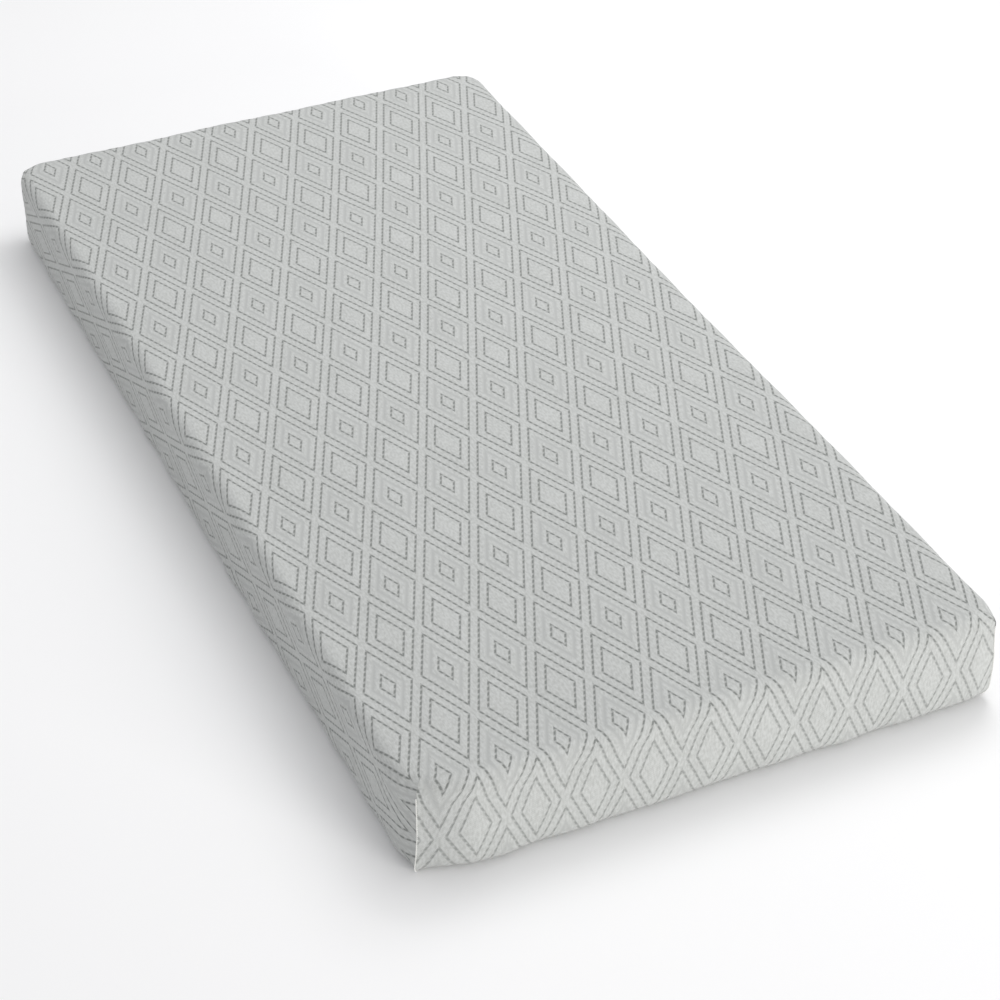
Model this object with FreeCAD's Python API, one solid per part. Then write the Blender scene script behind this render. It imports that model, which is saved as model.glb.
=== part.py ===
import FreeCAD, Part
import math
import os

# Cot mattress in millimetres: two bonded foams in a knitted liner, inside a zipped cover.
# Frame: origin at the centre of the underside, +Y along the length, +X towards the zip,
# +Z up through the sleeping face.

# Overall size
length = 1200.0
width = 600.0
height = 100.0

# Cover
cover_thickness = 3.0
plan_corner_radius = 35.0
top_edge_radius = 16.0
bottom_edge_radius = 14.0
skirt_turn_under = 22.0
base_panel_corner_radius = 15.0

# Core
memory_layer_thickness = 25.0
liner_thickness = 1.0
wrap_clearance = 0.3

# Zip, along the +X side
zip_end_setback = 80.0
zip_centre_height = 26.0
zip_opening_width = 12.0
zip_hem_depth = 9.0
zip_hem_thickness = 3.0
tape_width = 14.0
tape_thickness = 0.8
tape_tail = 10.0
chain_end_margin = 14.0
coil_width = 2.2
coil_thickness = 1.8
chain_gap = 1.6
stop_length = 2.0
bottom_stop_length = 4.0
stop_thickness = 0.5

# Slider and pull
slider_length = 11.0
slider_plate = 1.0
slider_flange = 0.9
slider_corner_radius = 2.0
slider_clearance = 0.3
neck_length = 3.0
crown_length = 6.4
crown_width = 2.2
crown_wall = 1.0
crown_roof = 0.8
crown_window_height = 1.9
pull_length = 20.0
pull_width = 6.0
pull_thickness = 1.2
pull_arm_clearance = 0.4
pull_eye_length = 3.8
pull_hole_radius = 1.2

# Sewing threads and the label
thread_diameter = 1.0
thread_groove_clearance = 0.3
stitch_row_offset = 3.5
stitch_row_width = 0.9
stitch_row_thickness = 0.5
stitch_depth = 0.2
bartack_width = 2.0
bartack_offset = 3.0
bartack_set_in = 0.5
base_seam_width = 2.4
base_seam_thickness = 0.6
label_length = 60.0
label_height = 30.0
label_thickness = 0.4
label_from_corner = 70.0
label_above_floor = 24.0

# Allowance by which a cutting tool passes the face it cuts
cut_over = 1.0


def block(x_low, x_high, y_low, y_high, z_low, z_high):
    """Box between the given faces."""
    corner = FreeCAD.Vector(x_low, y_low, z_low)
    return Part.makeBox(x_high - x_low, y_high - y_low, z_high - z_low, corner)


def vertical_edges(shape):
    """Straight edges parallel to Z."""
    found = []
    for edge in shape.Edges:
        if not isinstance(edge.Curve, Part.Line):
            continue
        if abs(edge.Curve.Direction.z) > math.cos(math.radians(1.0)):
            found.append(edge)
    return found


def edges_at_height(shape, z_level):
    """Edges that lie wholly in the plane z = z_level."""
    found = []
    for edge in shape.Edges:
        box = edge.BoundBox
        if abs(box.ZMin - z_level) < cut_over / 100 and abs(box.ZMax - z_level) < cut_over / 100:
            found.append(edge)
    return found


def rounded_slab(half_x, half_y, z_low, z_high, corner_radius):
    """Slab centred on Z with rounded corners in plan."""
    slab = block(-half_x, half_x, -half_y, half_y, z_low, z_high)
    return slab.makeFillet(corner_radius, vertical_edges(slab))


def cushion_block(inset):
    """The mattress's outer form, moved inwards by inset on every face."""
    slab = rounded_slab(width / 2 - inset, length / 2 - inset, inset, height - inset,
                        plan_corner_radius - inset)
    slab = slab.makeFillet(top_edge_radius - inset, edges_at_height(slab, height - inset))
    return slab.makeFillet(bottom_edge_radius - inset, edges_at_height(slab, inset))


# Places that several pieces share
skirt_face = width / 2
zip_half = length / 2 - zip_end_setback
opening_half = zip_opening_width / 2
hem_inner_face = skirt_face - cover_thickness - zip_hem_thickness
tape_inner_face = hem_inner_face - tape_thickness
hem_reach = opening_half + zip_hem_depth
sewn_half = zip_half + tape_tail
chain_half = zip_half - chain_end_margin
coil_outer_face = hem_inner_face + coil_thickness
tape_edge = chain_gap / 2
slider_top_inner = coil_outer_face + slider_clearance
slider_top_outer = slider_top_inner + slider_plate
slider_back_outer = tape_inner_face - slider_clearance
slider_back_inner = slider_back_outer - slider_plate
slider_y = chain_half - stop_length - slider_clearance - slider_length / 2
slider_half_width = tape_edge + coil_width + slider_clearance + slider_flange
crown_window_middle = slider_top_outer + crown_window_height / 2


def zip_hem(side):
    """Turned-in edge of the cover behind the zip opening: side +1 above, -1 below."""
    z_near = zip_centre_height + side * opening_half
    z_far = zip_centre_height + side * hem_reach
    return block(hem_inner_face, skirt_face - cover_thickness / 2, -sewn_half, sewn_half,
                 min(z_near, z_far), max(z_near, z_far))


def base_region():
    """Space that the base panel fills: the underside, and the rise to the zip on +X."""
    underside = rounded_slab(width / 2 - skirt_turn_under, length / 2 - skirt_turn_under,
                             -cut_over, cover_thickness + cut_over, base_panel_corner_radius)
    rise = block(width / 2 - skirt_turn_under - base_panel_corner_radius, skirt_face + cut_over,
                 -sewn_half, sewn_half, -cut_over, zip_centre_height - opening_half)
    return underside.fuse(rise)


def base_seam_path(half_width, z_low, z_high):
    """Band of the given half width along the seam between skirts and base panel."""
    line_x = width / 2 - skirt_turn_under
    line_y = length / 2 - skirt_turn_under
    outer = rounded_slab(line_x + half_width, line_y + half_width, z_low, z_high,
                         base_panel_corner_radius + half_width)
    inner = rounded_slab(line_x - half_width, line_y - half_width, z_low - cut_over,
                         z_high + cut_over, base_panel_corner_radius - half_width)
    zip_side = block(0, width, -sewn_half, sewn_half, z_low - cut_over, z_high + cut_over)
    return outer.cut(inner).cut(zip_side)


def corner_seam(sign_x, sign_y, radius):
    """Upright round bar on the middle of a corner's outer face."""
    reach = (plan_corner_radius - thread_diameter / 2 - stitch_depth) / math.sqrt(2)
    x_place = sign_x * (width / 2 - plan_corner_radius + reach)
    y_place = sign_y * (length / 2 - plan_corner_radius + reach)
    bottom = FreeCAD.Vector(x_place, y_place, bottom_edge_radius)
    return Part.makeCylinder(radius, height - top_edge_radius - bottom_edge_radius, bottom)


def stitch_row(side, margin):
    """Row of topstitching beside the zip opening, widened by margin for its groove."""
    z_middle = zip_centre_height + side * (opening_half + stitch_row_offset)
    half = stitch_row_width / 2 + margin
    outer = skirt_face - stitch_depth
    return block(outer - stitch_row_thickness - margin, outer + margin, -zip_half, zip_half,
                 z_middle - half, z_middle + half)


def bartack(end, margin):
    """Dense stitched bar that closes one end of the zip opening."""
    y_middle = end * (zip_half + bartack_offset)
    half = bartack_width / 2 + margin
    outer = skirt_face - stitch_depth
    half_height = opening_half - bartack_set_in + margin
    return block(outer - stitch_row_thickness - margin, outer + margin, y_middle - half,
                 y_middle + half, zip_centre_height - half_height,
                 zip_centre_height + half_height)


def care_label(margin):
    """Blank woven label laid flat on the far end, near the zip-side corner."""
    x_high = width / 2 - label_from_corner
    outer = length / 2 - stitch_depth
    return block(x_high - label_length - margin, x_high + margin,
                 outer - label_thickness - margin, outer + margin,
                 label_above_floor - margin, label_above_floor + label_height + margin)


def cover_panels():
    """Top panel with its four skirts, and base panel, as two solids."""
    shell = cushion_block(0).cut(cushion_block(cover_thickness))
    shell = shell.fuse([zip_hem(1), zip_hem(-1)])
    opening = block(hem_inner_face - cut_over, skirt_face + cut_over, -zip_half, zip_half,
                    zip_centre_height - opening_half, zip_centre_height + opening_half)
    shell = shell.cut(opening)
    region = base_region()
    top_cuts = [stitch_row(1, thread_groove_clearance), care_label(thread_groove_clearance)]
    for end in (-1, 1):
        top_cuts.append(bartack(end, thread_groove_clearance))
    for sign_x in (-1, 1):
        for sign_y in (-1, 1):
            groove_radius = thread_diameter / 2 + thread_groove_clearance
            top_cuts.append(corner_seam(sign_x, sign_y, groove_radius))
    seam_groove = base_seam_path(base_seam_width / 2 + thread_groove_clearance, -cut_over,
                                 stitch_depth + base_seam_thickness + thread_groove_clearance)
    top = shell.cut(region).cut(top_cuts).cut(seam_groove)
    base = shell.common(region).cut([stitch_row(-1, thread_groove_clearance), seam_groove])
    return top, base


def core_form(inset):
    """Core or liner form, dished in along the zip so that the slider has room behind."""
    dish_reach = max(hem_reach, tape_edge + tape_width) + wrap_clearance
    extra = inset - cover_thickness - wrap_clearance
    dish = block(slider_back_inner - wrap_clearance - extra, skirt_face + cut_over,
                 -sewn_half - wrap_clearance - extra, sewn_half + wrap_clearance + extra,
                 zip_centre_height - dish_reach - extra, zip_centre_height + dish_reach + extra)
    return cushion_block(inset).cut(dish)


def inner_liner():
    """Knitted sock that stays on the foam when the cover is off."""
    outside = cover_thickness + wrap_clearance
    return core_form(outside).cut(core_form(outside + liner_thickness))


def foam_layers():
    """Memory foam over support foam, glued face to face."""
    inset = cover_thickness + 2 * wrap_clearance + liner_thickness
    foam = core_form(inset)
    joint_height = height - inset - memory_layer_thickness
    upper = block(-width, width, -length, length, joint_height, height)
    return foam.common(upper), foam.cut(upper)


def zip_tape(side):
    """Woven tape behind one hem: side +1 above the chain, -1 below."""
    z_edge = zip_centre_height + side * tape_edge
    z_far = z_edge + side * tape_width
    return block(tape_inner_face, hem_inner_face, -sewn_half, sewn_half,
                 min(z_edge, z_far), max(z_edge, z_far))


def zip_coil(side):
    """One coil of the chain, as the bar that its turns fill."""
    z_edge = zip_centre_height + side * tape_edge
    z_far = z_edge + side * coil_width
    return block(hem_inner_face, coil_outer_face, -chain_half + bottom_stop_length,
                 chain_half - stop_length, min(z_edge, z_far), max(z_edge, z_far))


def zip_top_stop(side):
    """Metal clip on one tape's edge, past the closed end of the chain."""
    z_edge = zip_centre_height + side * tape_edge
    z_far = z_edge + side * coil_width
    return block(hem_inner_face, coil_outer_face + stop_thickness, chain_half - stop_length,
                 chain_half, min(z_edge, z_far), max(z_edge, z_far))


def zip_bottom_stop():
    """Metal staple across both coils at the open end of the chain."""
    reach = tape_edge + coil_width
    return block(hem_inner_face, coil_outer_face + stop_thickness, -chain_half,
                 -chain_half + bottom_stop_length, zip_centre_height - reach,
                 zip_centre_height + reach)


def slider_plan_plate(x_low, x_high):
    """Slider plate with rounded corners, seen from the side of the mattress."""
    half_length = slider_length / 2
    plate = block(x_low, x_high, slider_y - half_length, slider_y + half_length,
                  zip_centre_height - slider_half_width, zip_centre_height + slider_half_width)
    upright = [edge for edge in plate.Edges if edge.BoundBox.XLength > slider_plate / 2]
    return plate.makeFillet(slider_corner_radius, upright)


def zip_slider_body():
    """Cast slider: two plates, two flanges, a neck and the crown that holds the pull."""
    pieces = [slider_plan_plate(slider_back_inner, slider_back_outer)]
    flange_foot = hem_inner_face + slider_clearance
    half_length = slider_length / 2 - slider_corner_radius
    for side in (-1, 1):
        z_outer = zip_centre_height + side * slider_half_width
        z_inner = z_outer - side * slider_flange
        pieces.append(block(flange_foot, slider_top_outer, slider_y - half_length,
                            slider_y + half_length, min(z_inner, z_outer),
                            max(z_inner, z_outer)))
    neck_half = tape_edge - slider_clearance
    neck_front = slider_y + half_length
    pieces.append(block(slider_back_inner, slider_top_outer, neck_front - neck_length,
                        neck_front, zip_centre_height - neck_half,
                        zip_centre_height + neck_half))
    crown_half = crown_length / 2
    roof = slider_top_outer + crown_window_height + crown_roof
    crown = block(slider_top_inner, roof, slider_y - crown_half, slider_y + crown_half,
                  zip_centre_height - crown_width / 2, zip_centre_height + crown_width / 2)
    window = block(slider_top_outer, slider_top_outer + crown_window_height,
                   slider_y - crown_half + crown_wall, slider_y + crown_half - crown_wall,
                   zip_centre_height - crown_width, zip_centre_height + crown_width)
    pieces.append(crown.cut(window))
    top_plate = slider_plan_plate(slider_top_inner, slider_top_outer)
    return top_plate.fuse(pieces).removeSplitter()


def zip_pull_tab():
    """Flat pull that lies back along the chain, its bar through the slider's crown."""
    half_thick = pull_thickness / 2
    x_low = crown_window_middle - half_thick
    x_high = crown_window_middle + half_thick
    tip = slider_y - pull_length
    plate = block(x_low, x_high, tip, slider_y, zip_centre_height - pull_width / 2,
                  zip_centre_height + pull_width / 2)
    tip_edges = []
    for edge in plate.Edges:
        if edge.BoundBox.YMax < tip + cut_over and edge.BoundBox.XLength > half_thick:
            tip_edges.append(edge)
    plate = plate.makeFillet(pull_width / 2 - pull_arm_clearance, tip_edges)
    pivot_foot = FreeCAD.Vector(crown_window_middle, slider_y,
                                zip_centre_height - pull_width / 2)
    bar = Part.makeCylinder(half_thick, pull_width, pivot_foot)
    eye_half = crown_width / 2 + pull_arm_clearance
    eye = block(x_low - cut_over, x_high + cut_over, slider_y - half_thick - pull_eye_length,
                slider_y + half_thick + cut_over, zip_centre_height - eye_half,
                zip_centre_height + eye_half)
    hole_foot = FreeCAD.Vector(x_low - cut_over, tip + pull_width / 2, zip_centre_height)
    hole = Part.makeCylinder(pull_hole_radius, pull_thickness + 2 * cut_over, hole_foot,
                             FreeCAD.Vector(1, 0, 0))
    return plate.cut([eye, hole]).fuse(bar).removeSplitter()


def save(node, shape):
    """Write one node and stop at a solid that isn't sound."""
    if not shape.isValid() or not shape.Solids:
        raise ValueError(node + " is not a sound solid")
    solids = shape.Solids
    written = solids[0] if len(solids) == 1 else Part.makeCompound(solids)
    written.exportStep("parts/" + node + ".step")
    box = written.optimalBoundingBox(False)
    print(node, len(solids), "solid, mm:", round(box.XLength, 1), round(box.YLength, 1),
          round(box.ZLength, 1))


os.makedirs("parts", exist_ok=True)

top_panel, base_panel = cover_panels()
save("cover_top_panel", top_panel)
save("cover_base_panel", base_panel)

corner_names = {(-1, -1): "near_left", (1, -1): "near_right",
                (1, 1): "far_right", (-1, 1): "far_left"}
for (corner_x, corner_y), corner_name in corner_names.items():
    save("corner_seam_thread_" + corner_name,
         corner_seam(corner_x, corner_y, thread_diameter / 2))
save("base_seam_thread",
     base_seam_path(base_seam_width / 2, stitch_depth, stitch_depth + base_seam_thickness))

save("inner_liner", inner_liner())
memory_layer, support_core = foam_layers()
save("memory_foam_layer", memory_layer)
save("support_foam_core", support_core)

for side_name, side_sign in (("upper", 1), ("lower", -1)):
    save("zip_tape_" + side_name, zip_tape(side_sign))
    save("zip_coil_" + side_name, zip_coil(side_sign))
    save("zip_top_stop_" + side_name, zip_top_stop(side_sign))
    save("zip_stitching_" + side_name, stitch_row(side_sign, 0))
for end_name, end_sign in (("near", -1), ("far", 1)):
    save("zip_bartack_" + end_name, bartack(end_sign, 0))
save("zip_bottom_stop", zip_bottom_stop())
save("zip_slider_body", zip_slider_body())
save("zip_pull_tab", zip_pull_tab())
save("care_label", care_label(0))

slider_travel = slider_y + chain_half - bottom_stop_length - slider_clearance - slider_length / 2
print("slider at rest", round(slider_y, 2), "travel", round(slider_travel, 2))
print("pull's pivot", round(crown_window_middle, 2), round(slider_y, 2), zip_centre_height)
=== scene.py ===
import math

import bmesh
import bpy
import numpy as np
from mathutils import Matrix, Vector


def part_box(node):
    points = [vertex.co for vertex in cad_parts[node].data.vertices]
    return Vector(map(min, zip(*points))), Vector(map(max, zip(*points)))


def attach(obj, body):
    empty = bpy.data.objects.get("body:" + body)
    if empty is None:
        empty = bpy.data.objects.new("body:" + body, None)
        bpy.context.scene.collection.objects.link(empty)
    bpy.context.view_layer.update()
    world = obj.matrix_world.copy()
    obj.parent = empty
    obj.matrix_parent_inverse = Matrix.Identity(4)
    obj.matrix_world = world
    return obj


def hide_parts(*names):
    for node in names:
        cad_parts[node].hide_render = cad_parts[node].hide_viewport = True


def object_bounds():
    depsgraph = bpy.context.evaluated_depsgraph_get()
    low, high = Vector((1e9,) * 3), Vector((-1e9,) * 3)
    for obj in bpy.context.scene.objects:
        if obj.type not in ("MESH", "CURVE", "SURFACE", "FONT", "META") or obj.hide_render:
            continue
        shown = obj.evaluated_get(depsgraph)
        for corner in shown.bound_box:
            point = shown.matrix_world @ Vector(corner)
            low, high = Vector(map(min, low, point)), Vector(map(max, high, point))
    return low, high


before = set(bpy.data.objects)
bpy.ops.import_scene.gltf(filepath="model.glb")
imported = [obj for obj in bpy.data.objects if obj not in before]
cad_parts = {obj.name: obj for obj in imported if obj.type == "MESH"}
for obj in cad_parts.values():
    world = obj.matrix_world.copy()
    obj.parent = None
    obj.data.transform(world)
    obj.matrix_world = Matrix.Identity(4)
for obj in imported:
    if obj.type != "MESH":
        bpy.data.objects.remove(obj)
cad_low, cad_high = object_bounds()


# Studio. A white table-top studio: one sheet of matt white paper, a low soft box in front of
# the near end, a broad one at the ceiling, a small one beside the bed, and white walls.
def linear(code):
    """A colour given as sRGB hex, turned to the linear values that a shader takes."""
    parts = [int(code[i:i + 2], 16) / 255 for i in (1, 3, 5)]
    made = [c / 12.92 if c <= 0.04045 else ((c + 0.055) / 1.055) ** 2.4 for c in parts]
    return (*made, 1.0)


def add_node(tree, kind, settings=None, links=None):
    """Adds a node; links gives an input a number, a colour, a socket or a node's first output."""
    made = tree.nodes.new(kind)
    for name, value in (settings or {}).items():
        setattr(made, name, value)
    for name, value in (links or {}).items():
        socket = made.inputs[name]
        if isinstance(value, bpy.types.Node):
            value = value.outputs[0]
        if isinstance(value, bpy.types.NodeSocket):
            tree.links.new(value, socket)
        else:
            socket.default_value = value
    return made


def new_material(name, base, roughness, **more):
    """A Principled surface; returns the material, its tree and its shader node."""
    material = bpy.data.materials.new(name)
    material.use_nodes = True
    tree = material.node_tree
    shader = tree.nodes["Principled BSDF"]
    shader.inputs["Base Color"].default_value = linear(base)
    shader.inputs["Roughness"].default_value = roughness
    for socket, value in more.items():
        shader.inputs[socket.replace("_", " ")].default_value = value
    return material, tree, shader


camera_distance = 2.523
camera_azimuth = math.radians(-25.02)
camera_elevation = math.radians(37.0)
camera_roll = math.radians(0.27)
camera_aim = Vector((-0.0236, -0.1816, 0.05))
camera_back = Vector((math.sin(camera_azimuth) * math.cos(camera_elevation),
                      -math.cos(camera_azimuth) * math.cos(camera_elevation),
                      math.sin(camera_elevation)))
camera = bpy.data.objects.new("camera", bpy.data.cameras.new("camera"))
camera.data.lens = 89.9
camera.location = camera_aim + camera_back * camera_distance
camera.rotation_mode = "QUATERNION"
level = (-camera_back).to_track_quat("-Z", "Y")
camera.rotation_quaternion = Matrix.Rotation(camera_roll, 3, camera_back).to_quaternion() @ level
camera.data.clip_end = 50.0
bpy.context.scene.collection.objects.link(camera)
bpy.context.scene.camera = camera

floor_half = 8.0
floor_gap = 0.0005
floor_mesh = bpy.data.meshes.new("studio_paper")
floor_mesh.from_pydata([(-floor_half, -floor_half, 0), (floor_half, -floor_half, 0),
                        (floor_half, floor_half, 0), (-floor_half, floor_half, 0)],
                       [], [(0, 1, 2, 3)])
floor = bpy.data.objects.new("studio_paper", floor_mesh)
floor.location.z = cad_low.z - floor_gap
floor_mesh.materials.append(new_material("matt_white_paper", "#F6F6F6", 0.9)[0])
bpy.context.scene.collection.objects.link(floor)

world = bpy.data.worlds.new("white_walls")
world.use_nodes = True
world.node_tree.nodes["Background"].inputs["Color"].default_value = linear("#FDFDFF")
world.node_tree.nodes["Background"].inputs["Strength"].default_value = 0.62
bpy.context.scene.world = world
bpy.context.scene.view_settings.view_transform = "Standard"


def soft_box(name, place, size, watts, colour):
    """A square lamp with a diffuser, aimed at the middle of the bed."""
    lamp = bpy.data.lights.new(name, "AREA")
    lamp.size = size
    lamp.energy = watts
    lamp.color = linear(colour)[:3]
    box = bpy.data.objects.new(name, lamp)
    box.location = place
    box.rotation_mode = "QUATERNION"
    box.rotation_quaternion = (-Vector(place)).to_track_quat("-Z", "Y")
    bpy.context.scene.collection.objects.link(box)


soft_box("front_box", (1.0, -3.2, 0.65), 1.2, 44.0, "#FFFDFA")
soft_box("ceiling_box", (0.9, 0.9, 4.0), 2.6, 48.0, "#FFFFFF")
soft_box("side_box", (0.8, 0.4, 1.5), 0.9, 8.0, "#FFFFFF")

# Foam core. A slab of cream support foam under a slab of pale yellow memory foam, both open-cell
# polyurethane, sawn from a block and glued face to face. Their sides give a little under the
# tight cover, so no face is quite flat, and the near left corner is pushed back.
half_width = cad_high.x
half_length = cad_high.y
top_height = cad_high.z
corner_radius = 0.035
top_roll = 0.013
bottom_roll = 0.014
foam_inset = 0.0064
foam_floor = 0.0052
foam_ceiling = 0.0945
foam_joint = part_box("support_foam_core")[1].z
glue_half = 0.0004
sawn_edge = 0.0015
side_pull_in = 0.003
corner_push = (0.004, 0.012)
corner_across = (0.235, 0.290)
corner_along = (0.535, 0.590)
corner_lean = 0.004
near_lean = 0.006
near_along = (0.530, 0.590)
tape_height = 0.041
sewn_half_length = 0.530
recess_margin = 0.012
recess_ease = 0.008
zip_side_free = (0.042, 0.080)
plain_side_free = (0.0, 0.030)
near_lean_rise = (0.030, 0.095)
corner_lean_rise = (0.0, 0.090)


def smooth(value, low, high):
    """0 below low, 1 above high, eased between."""
    share = np.clip((value - low) / (high - low), 0, 1)
    return share * share * (3 - 2 * share)


def ripple(x, y, waves, seed):
    """Smooth unevenness from -1 to 1: a few sine waves with settled directions."""
    draw = np.random.default_rng(seed)
    total = np.zeros(np.shape(x))
    for length in waves:
        heading, phase = draw.uniform(0, 2 * math.pi, 2)
        total += np.sin((x * math.cos(heading) + y * math.sin(heading)) * 2 * math.pi / length
                        + phase)
    return total / len(waves)


def pushed_back(x, y):
    """1 at the near left corner, which is pushed back a little, and 0 away from it."""
    return smooth(-x, *corner_across) * smooth(-y, *corner_along)


def at_near_end(y):
    """1 at the near end, which leans back a little, and 0 away from it."""
    return smooth(-y, *near_along)


def draw_in(points):
    """Bows the long sides in, leans the near end back, and pushes the near left corner back."""
    x, y, z = points[..., 0].copy(), points[..., 1].copy(), points[..., 2]
    bow = side_pull_in * (1 - (y / half_length) ** 2) * np.abs(x / half_width) ** 3
    free = np.where(x > 0, smooth(z, *zip_side_free), smooth(z, *plain_side_free))
    corner = pushed_back(x, y)
    points[..., 0] = (x - np.sign(x) * bow * free + corner_push[0] * corner
                      + corner_lean * corner * smooth(z, *corner_lean_rise))
    points[..., 1] = (y + corner_push[1] * corner
                      + near_lean * at_near_end(y) * smooth(z, *near_lean_rise))
    return points


def mesh_points(mesh):
    """A mesh's points as an array."""
    flat = np.zeros(len(mesh.vertices) * 3, np.float32)
    mesh.vertices.foreach_get("co", flat)
    return flat.reshape(-1, 3).astype(float)


def soft_slab(name, inset, low, high, roll_high, roll_low, dish, voxel=0.006):
    """A closed slab with round corners and rims, dished in behind the zip, evenly meshed."""
    shell = bmesh.new()
    bmesh.ops.create_cube(shell, size=1.0)
    for point in shell.verts:
        point.co = Vector((point.co.x * 2 * (half_width - inset),
                           point.co.y * 2 * (half_length - inset),
                           low if point.co.z < 0 else high))
    upright = [e for e in shell.edges if abs(e.verts[0].co.z - e.verts[1].co.z) > 0.01]
    bmesh.ops.bevel(shell, geom=upright, offset=corner_radius - inset, segments=8,
                    profile=0.5, affect="EDGES")
    for height, roll in ((high, roll_high), (low, roll_low)):
        rim = [e for e in shell.edges if all(abs(v.co.z - height) < 1e-5 for v in e.verts)]
        bmesh.ops.bevel(shell, geom=rim, offset=roll, segments=5, profile=0.5, affect="EDGES")
    mesh = bpy.data.meshes.new(name)
    shell.to_mesh(mesh)
    shell.free()
    made = bpy.data.objects.new(name, mesh)
    bpy.context.scene.collection.objects.link(made)
    remesh = made.modifiers.new("even_mesh", "REMESH")
    remesh.mode = "VOXEL"
    remesh.voxel_size = voxel
    made.data = bpy.data.meshes.new_from_object(
        made.evaluated_get(bpy.context.evaluated_depsgraph_get()))
    made.modifiers.clear()
    made.data.name = name
    points = draw_in(mesh_points(made.data))
    x, y, z = points.T
    beside = (smooth(tape_height + recess_margin - z, 0, recess_ease)
              * smooth(sewn_half_length + recess_margin - np.abs(y), 0, recess_ease))
    points[:, 0] = np.minimum(x, half_width - beside * dish)
    wave = 0.0005 * ripple(x, y, (0.19, 0.27, 0.11), 3)
    points[:, 2] += wave * smooth(np.abs(z - (low + high) / 2), 0, (high - low) / 2)
    made.data.vertices.foreach_set("co", points.astype(np.float32).ravel())
    made.data.shade_smooth()
    return made


def reckon(tree, operation, *values):
    """One sum on numbers, sockets or nodes."""
    return add_node(tree, "ShaderNodeMath", {"operation": operation}, dict(enumerate(values)))


def two_tones(tree, shader, share, first, second):
    """Colours the surface: the first tone where share is 0, and the second where it is 1."""
    tone = add_node(tree, "ShaderNodeMix", {"data_type": "RGBA"},
                    {"Factor": share, 6: linear(first), 7: linear(second)})
    tree.links.new(tone.outputs[2], shader.inputs["Base Color"])


def raise_by(tree, shader, height, depth, invert=False):
    """Raises the surface by depth where height is 1; invert sinks it instead."""
    relief = add_node(tree, "ShaderNodeBump", {"invert": invert},
                      {"Height": height, "Distance": depth})
    tree.links.new(relief.outputs[0], shader.inputs["Normal"])


def foam_material(name, light, dark, cell):
    """Open-cell foam: matt and chalky, every cell a small pit in a paler skin, with painted shade
    darkening each pit.
    """
    material, tree, shader = new_material(name, light, 0.95, Sheen_Weight=0.15, IOR=1.50,
                                          Subsurface_Weight=0.15, Subsurface_Scale=0.004)
    place = add_node(tree, "ShaderNodeTexCoord").outputs["Object"]
    cells = add_node(tree, "ShaderNodeTexVoronoi", {"feature": "F1"},
                     {"Vector": place, "Scale": 1 / cell})
    blotch = add_node(tree, "ShaderNodeTexNoise", None,
                      {"Vector": place, "Scale": 1 / 0.06, "Detail": 3.0})
    depth = reckon(tree, "MULTIPLY_ADD", blotch, 0.5, cells.outputs["Distance"])
    # Painted shade: the colour darkens towards each cell's sunk middle.
    two_tones(tree, shader, depth, dark, light)
    raise_by(tree, shader, cells.outputs["Distance"], 0.4 * cell)
    return material


# Cells are 0.5 to 1 mm across in real foam; they are drawn at 1.5 and 1.2 mm so that they show.
support_foam = soft_slab("support_foam", foam_inset, foam_floor, foam_joint - glue_half,
                         sawn_edge, bottom_roll - foam_inset, dish=0.0106)
support_foam.data.materials.append(
    foam_material("open_cell_support_foam", "#F0ECDF", "#CFC9B6", 0.0015))
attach(support_foam, "mattress")
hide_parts("support_foam_core")

memory_foam = soft_slab("memory_foam", foam_inset, foam_joint + glue_half, foam_ceiling,
                        top_roll - foam_inset, sawn_edge, dish=0.0)
memory_foam.data.materials.append(
    foam_material("slow_recovery_memory_foam", "#F4EBC9", "#DCCF9F", 0.0012))
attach(memory_foam, "mattress")
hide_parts("memory_foam_layer")

# Inner liner. A tube of thin white polyester knit pulled over the foam like a sock, with a seam
# at mid height at both ends. The seam's two edges lie a little apart under the cover. The liner
# stays on when the cover is off for washing.
liner_inset = 0.0050
liner_floor = 0.0040
liner_ceiling = 0.0958
liner = soft_slab("liner_sock", liner_inset, liner_floor, liner_ceiling, top_roll - liner_inset,
                  bottom_roll - liner_inset, dish=0.0090, voxel=0.005)
end_seam_height = 0.050
end_seam_gap = 0.003
end_seam_across = 0.27
end_seam_from = 0.57
sock = bmesh.new()
sock.from_mesh(liner.data)
for height in (end_seam_height - end_seam_gap / 2, end_seam_height + end_seam_gap / 2):
    bmesh.ops.bisect_plane(sock, geom=sock.verts[:] + sock.edges[:] + sock.faces[:],
                           plane_co=(0, 0, height), plane_no=(0, 0, 1), dist=0.0001)
between = [f for f in sock.faces
           if all(abs(v.co.z - end_seam_height) < end_seam_gap / 2 + 0.0003
                  and abs(v.co.y) > end_seam_from and abs(v.co.x) < end_seam_across
                  for v in f.verts)]
bmesh.ops.delete(sock, geom=between, context="FACES")
sock.to_mesh(liner.data)
sock.free()
liner.data.shade_smooth()
liner_knit, tree, shader = new_material("polyester_liner_knit", "#F2F2EF", 0.9,
                                        Sheen_Weight=0.3, IOR=1.46)
place = add_node(tree, "ShaderNodeTexCoord").outputs["Object"]
# Wales of 0.8 mm, drawn at 1.6 mm so that they show; the grooves between them are painted darker
# as shade.
ribs = add_node(tree, "ShaderNodeTexWave", {"bands_direction": "X"},
                {"Vector": place, "Scale": 0.314 / 0.0016, "Distortion": 1.5,
                 "Detail": 2.0, "Detail Scale": 3.0})
two_tones(tree, shader, ribs.outputs["Fac"], "#DEDEDA", "#F5F5F2")
raise_by(tree, shader, ribs.outputs["Fac"], 0.0002)
liner.data.materials.append(liner_knit)
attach(liner, "mattress")
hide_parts("inner_liner")

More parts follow.
